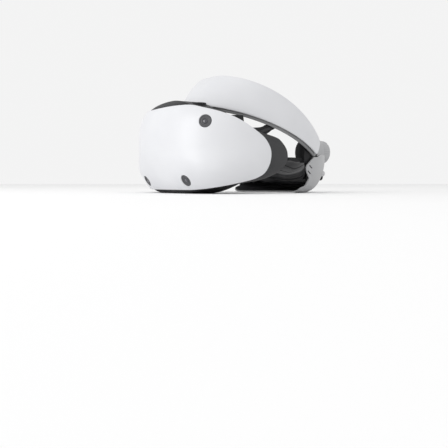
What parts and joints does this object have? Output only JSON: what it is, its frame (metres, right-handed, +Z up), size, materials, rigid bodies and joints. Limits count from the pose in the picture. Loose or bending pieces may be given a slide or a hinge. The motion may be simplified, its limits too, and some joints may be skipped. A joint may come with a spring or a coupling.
{
  "type": "vr headset",
  "caption": "Virtual-reality headset with a white wraparound visor that slides on rails, adjustable lenses, a light shield, a halo headband and a dial-tightened rear cradle.",
  "frame": {"origin": "bottom centre of the whole headset, on the surface that it rests on", "axes": "+Z up, -Y out of the visor's front, +X to the wearer's left"},
  "size_m": [0.2056, 0.2621, 0.1396],
  "materials": {
    "white_plastic": "satin",
    "grey_plastic": "satin",
    "black_plastic": "fine grain",
    "dark_grey_plastic": "satin",
    "soft_rubber": "matte",
    "pad_cover": "soft skin",
    "optical_glass": "coated",
    "dark_panel": "gloss",
    "steel": "ground",
    "aluminium": "bare",
    "circuit_board": "solder mask"
  },
  "bodies": {
    "headband": {"band_outer_shell": "white_plastic", "band_inner_frame": "dark_grey_plastic", "forehead_pad": "pad_cover", "slide_bracket": "black_plastic", "rail_left": "steel", "rail_right": "steel", "arm_guide_left": "black_plastic", "arm_guide_right": "black_plastic"},
    "lens_module_left": {"lens_barrel_left": "black_plastic", "lens_left": "optical_glass", "display_panel_left": "dark_panel", "tracking_light_ring_left": "dark_panel", "lens_rack_left": "black_plastic"},
    "lens_module_right": {"lens_barrel_right": "black_plastic", "lens_right": "optical_glass", "display_panel_right": "dark_panel", "tracking_light_ring_right": "dark_panel", "lens_rack_right": "black_plastic"},
    "fan": {"fan_rotor": "black_plastic"},
    "spacing_dial": {"lens_spacing_dial": "black_plastic"},
    "visor_release": {"visor_release_button": "black_plastic"},
    "power": {"power_button": "black_plastic"},
    "function": {"function_button": "black_plastic"},
    "rear_cradle": {"rear_shell": "grey_plastic", "rear_inner_shell": "black_plastic", "rear_pad": "pad_cover", "rear_arm_left": "black_plastic", "rear_arm_right": "black_plastic", "earphone_socket": "steel", "cable_gland": "soft_rubber", "audio_board": "circuit_board"},
    "dial": {"adjust_dial": "grey_plastic", "dial_shaft": "steel"},
    "band_release": {"band_release_button": "grey_plastic"},
    "visor": {"visor_front_shell": "white_plastic", "visor_top_cover": "black_plastic", "visor_bottom_cover": "black_plastic", "visor_chassis": "black_plastic", "eye_plate": "black_plastic", "shield_clip_frame": "black_plastic", "slide_carriage": "black_plastic", "fan_housing": "black_plastic", "camera_upper_left": "black_plastic", "camera_upper_right": "black_plastic", "camera_lower_left": "black_plastic", "camera_lower_right": "black_plastic", "proximity_sensor": "black_plastic", "microphone": "black_plastic", "light_shield": "soft_rubber", "camera_windows": "optical_glass", "guide_rod_lower": "steel", "guide_rod_upper": "steel", "board_screws": "steel", "rumble_motor": "steel", "heat_sink": "aluminium", "main_board": "circuit_board"}
  },
  "joints": [
    {"name": "visor_slide", "type": "slide", "parent": "headband", "child": "visor", "axis": [0, -1, 0], "range_m": [0, 0.03]},
    {"name": "lens_left_slide", "type": "slide", "parent": "visor", "child": "lens_module_left", "axis": [1, 0, 0], "range_m": [-0.0035, 0.0035]},
    {"name": "lens_right_slide", "type": "slide", "parent": "visor", "child": "lens_module_right", "axis": [-1, 0, 0], "range_m": [-0.0036, 0.0036]},
    {"name": "lens_dial_turn", "type": "hinge", "parent": "visor", "child": "spacing_dial", "pos_m": [0.042, -0.095, 0.09], "axis": [0, 0, 1], "range_deg": [-67, 67]},
    {"name": "fan_spin", "type": "hinge", "parent": "visor", "child": "fan", "pos_m": [0, -0.1135, 0.052], "axis": [0, 1, 0], "continuous": true},
    {"name": "visor_release_press", "type": "slide", "parent": "visor", "child": "visor_release", "axis": [0, 0, -1], "range_m": [0, 0.0015], "stiffness_N_per_m": 400, "springref_m": -0.0005},
    {"name": "power_press", "type": "slide", "parent": "visor", "child": "power", "axis": [0, 0, 1], "range_m": [0, 0.0008], "stiffness_N_per_m": 400, "springref_m": -0.0005},
    {"name": "function_press", "type": "slide", "parent": "visor", "child": "function", "axis": [0, 0, 1], "range_m": [0, 0.0008], "stiffness_N_per_m": 400, "springref_m": -0.0005},
    {"name": "rear_slide", "type": "slide", "parent": "headband", "child": "rear_cradle", "axis": [0, 1, 0], "range_m": [0, 0.03]},
    {"name": "dial_turn", "type": "hinge", "parent": "rear_cradle", "child": "dial", "pos_m": [0, 0.1235, 0.054], "axis": [0, 1, 0], "range_deg": [0, 430]},
    {"name": "band_release_press", "type": "slide", "parent": "dial", "child": "band_release", "axis": [0, -1, 0], "range_m": [0, 0.002], "stiffness_N_per_m": 400, "springref_m": -0.0005}
  ],
  "couplings": [
    {"joint": "lens_right_slide", "follows": "lens_left_slide", "ratio": 1},
    {"joint": "lens_dial_turn", "follows": "lens_left_slide", "rad_per_m": 333.3},
    {"joint": "dial_turn", "follows": "rear_slide", "rad_per_m": 250}
  ]
}
